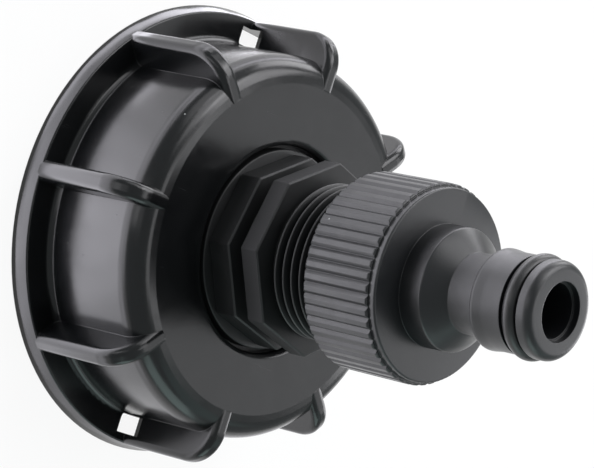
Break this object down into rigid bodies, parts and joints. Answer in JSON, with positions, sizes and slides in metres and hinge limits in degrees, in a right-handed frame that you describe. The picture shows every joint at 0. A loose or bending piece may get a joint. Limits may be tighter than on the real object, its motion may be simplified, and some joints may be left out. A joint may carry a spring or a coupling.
{
  "type": "tank outlet tap adapter",
  "caption": "Ribbed screw cap for a bulk tank's coarse-thread outlet, with a swivel outlet and a knurled screw-on connector that carries a snap-in hose spigot.",
  "frame": {"origin": "centre of the nut's mouth rim, on the flat face that the adapter stands on", "axes": "+Z along the common axis towards the spigot; +Y through the grip rib that has a seal slot at its foot"},
  "size_m": [0.0788, 0.0788, 0.0833],
  "materials": {
    "cap_plastic": "satin moulded black polypropylene",
    "outlet_plastic": "satin moulded black polypropylene",
    "connector_plastic": "matt moulded dark grey-black plastic",
    "gasket_rubber": "matt black rubber",
    "seal_rubber": "lightly greased black rubber"
  },
  "bodies": {
    "nut": {"coupling_nut": "cap_plastic"},
    "outlet": {"outlet_insert": "outlet_plastic", "tank_gasket": "gasket_rubber"},
    "travel": {"tap_washer": "gasket_rubber"},
    "connector": {"tap_connector": "connector_plastic", "spigot_o_ring": "seal_rubber"}
  },
  "joints": [
    {"name": "outlet_swivel", "type": "hinge", "parent": "nut", "child": "outlet", "pos_m": [0, 0, 0.02], "axis": [0, 0, 1], "continuous": true},
    {"name": "connector_travel", "type": "slide", "parent": "outlet", "child": "travel", "axis": [0, 0, 1], "range_m": [0, 0.00907]},
    {"name": "connector_turn", "type": "hinge", "parent": "travel", "child": "connector", "pos_m": [0, 0, 0.05], "axis": [0, 0, 1], "range_deg": [0, 1800]}
  ],
  "couplings": [
    {"joint": "connector_travel", "follows": "connector_turn", "m_per_rad": 0.0002887}
  ]
}
